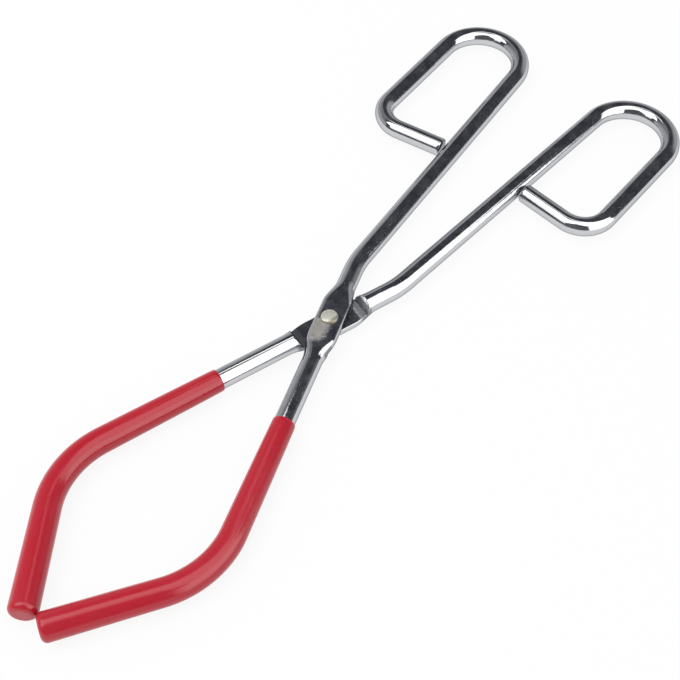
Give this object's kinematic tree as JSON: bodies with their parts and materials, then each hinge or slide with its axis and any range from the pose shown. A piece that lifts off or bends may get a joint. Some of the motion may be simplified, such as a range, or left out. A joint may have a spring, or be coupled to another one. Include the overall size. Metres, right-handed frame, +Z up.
{
  "type": "beaker tongs",
  "caption": "Scissor-action beaker tongs: two bent chromed rods crossing at a rivet, finger loops behind and bowed, soft-coated jaws in front.",
  "frame": {"origin": "under the middle of the closed tongs, on the surface they lie on", "axes": "+X along the tongs towards the finger loops, -X towards the jaws, +Z up, along the rivet"},
  "size_m": [0.2576, 0.0908, 0.0083],
  "materials": {
    "chromed_rod": "bright nickel or chrome plating over steel rod",
    "rivet_steel": "dull plated, lightly peened",
    "red_coat": "semi-gloss dipped soft vinyl"
  },
  "bodies": {
    "upper": {"upper_lever": "chromed_rod", "upper_jaw_coat": "red_coat", "pivot_rivet": "rivet_steel"},
    "lower": {"lower_lever": "chromed_rod", "lower_jaw_coat": "red_coat"}
  },
  "joints": [
    {"name": "pivot", "type": "hinge", "parent": "upper", "child": "lower", "pos_m": [-0.00541, 0, 0.00415], "axis": [0, 0, -1], "range_deg": [0, 100]}
  ]
}
